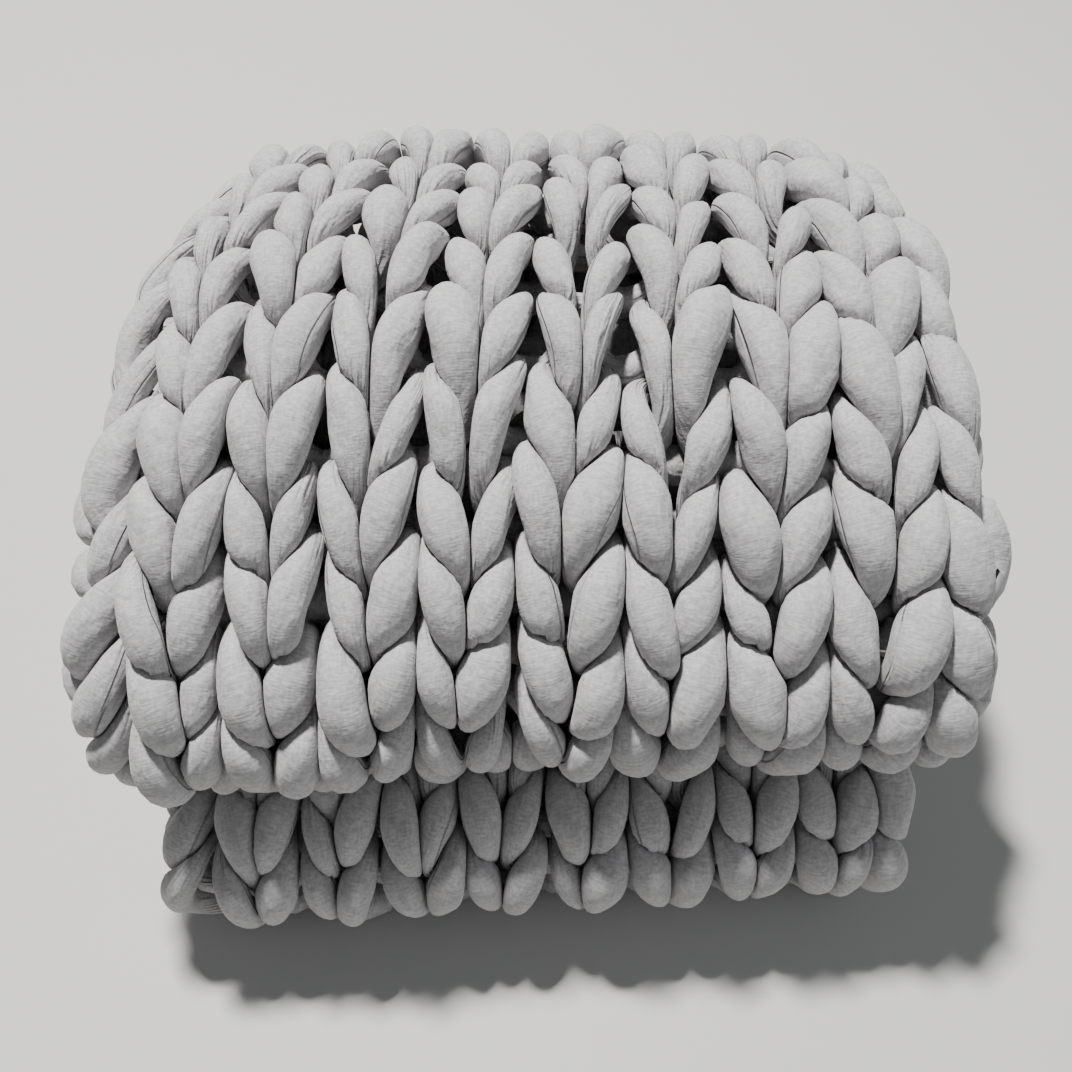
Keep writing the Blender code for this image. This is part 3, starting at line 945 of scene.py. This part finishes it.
def stretched(tree, flat, scale):
    """The flat map with its axes scaled."""
    return fed(tree, add_node(tree, "ShaderNodeMapping"), Vector=flat, Scale=scale).outputs[0]


print("cloth round the tube (mm):", round(1000 * TUBE_ROUND))

# %% Pleats
PLEAT_SCALE = 85.0      # pleats to a metre round the tube, more or less
PLEAT_HALF = 0.12       # half a pleat's width, as a share of the noise's range
SQUEEZE_FROM, SQUEEZE_TO = 0.28, 0.60   # how far the tube is pressed in where pleats begin and end growing
PLEAT_LEAST = 0.05      # what is left of the pleats where the tube is plump
NOISE_MIDDLE = 0.5


def pleat_heights(tree, flat):
    """Pleats along the tube, raised where it is squeezed."""
    squeezed = add_node(tree, "ShaderNodeAttribute", attribute_name="gathered").outputs["Fac"]
    squeeze = ranged(tree, squeezed, SQUEEZE_FROM, SQUEEZE_TO, PLEAT_LEAST, 1.0)
    pleats = clouds(tree, stretched(tree, flat, (DRAWN_OUT, 1.0, 1.0)), PLEAT_SCALE, detail=1.0)
    ridges = worked_out(tree, "SUBTRACT", PLEAT_HALF, off_middle(tree, pleats, NOISE_MIDDLE))
    return worked_out(tree, "MULTIPLY", ridges, squeeze)


print("pleats about every (mm):", round(1000 / PLEAT_SCALE))

# %% The seam
SEAM_DRIFT = 2.3        # how often it wanders, to a metre
SEAM_PLACES = (0.18, 0.36)      # how far round the tube it wanders, in turns
SEAM_WIDTH = 0.014      # half its width, in turns
NOISE_LOW, NOISE_HIGH = 0.3, 0.7        # most of the noise lies between these


def seam_line(tree, along, round_it):
    """1 on the seam and 0 off it."""
    drift = fed(tree, add_node(tree, "ShaderNodeCombineXYZ"), X=along).outputs[0]
    place = ranged(tree, clouds(tree, drift, SEAM_DRIFT, detail=0.0), NOISE_LOW, NOISE_HIGH, *SEAM_PLACES)
    return ranged(tree, off_middle(tree, round_it, place), 0.0, SEAM_WIDTH, 1.0, 0.0)


print("seam across (mm):", round(2000 * SEAM_WIDTH * TUBE_ROUND, 1))

# %% [markdown]
# ### Colour and relief
# Two greys that are close together are mixed by the noise, which gives the heather. The relief is laid
# down in four coats: grain, soft creases, pleats and the seam.

# %% Greys and bumps
JERSEY_LIGHT = (0.500, 0.491, 0.494, 1.0)
JERSEY_DARK = (0.358, 0.351, 0.357, 1.0)
JERSEY_ROUGHNESS = 0.88
SHEEN, SHEEN_ROUGHNESS = 0.18, 0.5
SPECULAR = 0.25
HEATHER_SCALE, MOTTLE_SCALE = 760.0, 330.0      # specks to a metre, more or less
HEATHER_PART, MOTTLE_PART = 0.55, 0.45
SHADE_FROM, SHADE_TO = 0.40, 0.60       # the noise between the dark and the light grey
SEAM_PAINTED_SHADOW = 0.35                       # painted shadow along the seam's ridge: how much darker the seam is painted
MIX_A, MIX_B, MIX_RESULT = 6, 7, 2      # a Mix node's colour sockets
GRAIN_SCALE, CREASE_SCALE = 900.0, 34.0
GRAIN_BUMP = (0.45, 0.0008)             # strength and metres
CREASE_BUMP = (0.6, 0.009)
PLEAT_BUMP = (0.7, 0.017)
SEAM_BUMP = (0.9, 0.0022)
print("greys:", JERSEY_LIGHT[:3], JERSEY_DARK[:3])


# %% The jersey
def jersey():
    """The blanket's one material."""
    material = plain_material("grey jersey", JERSEY_LIGHT[:3], JERSEY_ROUGHNESS)
    tree = material.node_tree
    shader = tree.nodes["Principled BSDF"]
    shader.inputs["Sheen Weight"].default_value = SHEEN
    shader.inputs["Sheen Roughness"].default_value = SHEEN_ROUGHNESS
    shader.inputs["Specular IOR Level"].default_value = SPECULAR

    along, round_it, flat = tube_map(tree)
    courses = stretched(tree, flat, (1.0, DRAWN_OUT, 1.0))
    heather = clouds(tree, courses, HEATHER_SCALE, detail=2.0)
    mottle = clouds(tree, flat, MOTTLE_SCALE, detail=3.0)
    seam = seam_line(tree, along, round_it)
    shade_mix = worked_out(tree, "ADD", worked_out(tree, "MULTIPLY", heather, HEATHER_PART),
                           worked_out(tree, "MULTIPLY", mottle, MOTTLE_PART))
    # The seam is painted darker here, a painted shadow along its ridge beside the raised seam.
    lightness = worked_out(tree, "SUBTRACT", ranged(tree, shade_mix, SHADE_FROM, SHADE_TO, 0.0, 1.0),
                           worked_out(tree, "MULTIPLY", seam, SEAM_PAINTED_SHADOW))
    shade = fed(tree, add_node(tree, "ShaderNodeMix", data_type="RGBA"), Factor=lightness)
    shade.inputs[MIX_A].default_value = JERSEY_DARK
    shade.inputs[MIX_B].default_value = JERSEY_LIGHT
    tree.links.new(shade.outputs[MIX_RESULT], shader.inputs["Base Color"])

    relief = raised(tree, clouds(tree, courses, GRAIN_SCALE, detail=2.0), *GRAIN_BUMP)
    relief = raised(tree, clouds(tree, flat, CREASE_SCALE, detail=3.0), *CREASE_BUMP, relief)
    relief = raised(tree, pleat_heights(tree, flat), *PLEAT_BUMP, relief)
    relief = raised(tree, seam, *SEAM_BUMP, relief)
    tree.links.new(relief, shader.inputs["Normal"])
    return material


jersey_material = jersey()
print(jersey_material.name, "nodes:", len(jersey_material.node_tree.nodes))

# %% [markdown]
# ## Cut the yarn into pieces
# The yarn is cut wherever it passes from fine to plain, and each cut end reaches one point past the cut,
# so that the two tubes meet without a gap. The lengths are then gathered into meshes of a handy size.

# %% Fine and plain lengths
changes = np.flatnonzero(np.diff(is_fine.astype(int))) + 1
fine_lengths, plain_lengths = [], []
for indices in np.split(np.arange(len(line)), changes):
    grown = np.arange(max(indices[0] - 1, 0), min(indices[-1] + 2, len(line)))
    (fine_lengths if is_fine[indices[0]] else plain_lengths).append(grown)
print("fine lengths:", len(fine_lengths), " plain lengths:", len(plain_lengths))

# %% Knit the pieces
MOST_TRIANGLES = 190000         # in one piece


def pieces_of(name, lengths, ring):
    """Pieces made from lengths of yarn, each of at most so many triangles."""
    batches, size = [[]], 0
    for indices in lengths:
        cost = 2 * ring * (len(indices) + 1)
        if batches[-1] and size + cost > MOST_TRIANGLES:
            batches.append([])
            size = 0
        batches[-1].append(indices)
        size += cost
    return [tube_piece(f"{name}_{number + 1}", batch, ring, jersey_material)
            for number, batch in enumerate(batches)]


knit = pieces_of("outer_stitches", fine_lengths, RING)
knit += pieces_of("inner_stitches", plain_lengths, PLAIN_RING)
print("pieces:", len(knit))

# %% [markdown]
# ## Ride and replace
# Every piece of the knit rides on the part's one body and stands for the solid, which is hidden.

# %% Ride and replace
for piece in knit:
    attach(piece, "root")
    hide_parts("blanket")
print("declared:", ", ".join(piece.name for piece in knit))
